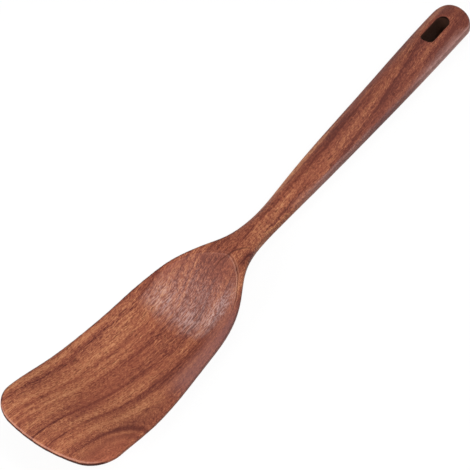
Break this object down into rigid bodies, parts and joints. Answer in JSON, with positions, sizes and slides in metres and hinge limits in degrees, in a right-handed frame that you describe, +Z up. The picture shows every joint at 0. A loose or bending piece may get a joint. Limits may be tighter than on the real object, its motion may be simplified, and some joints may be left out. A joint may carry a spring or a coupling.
{
  "type": "wooden turner",
  "caption": "One-piece carved hardwood turner with a dished, upturned blade, a slim neck and a long rounded handle with a hanging slot.",
  "frame": {"origin": "centre of the bounding box's base, on the surface that the turner lies on with its hollow up", "axes": "+X along the turner from the blade's tip to the handle's end, +Z up out of the blade's hollow"},
  "size_m": [0.35, 0.0648, 0.0265],
  "materials": {
    "oiled_hardwood": "fine-sanded reddish-brown hardwood with dark streaks and a wavy figure, oiled to a soft sheen"
  },
  "bodies": {
    "root": {"turner": "oiled_hardwood"}
  },
  "joints": []
}
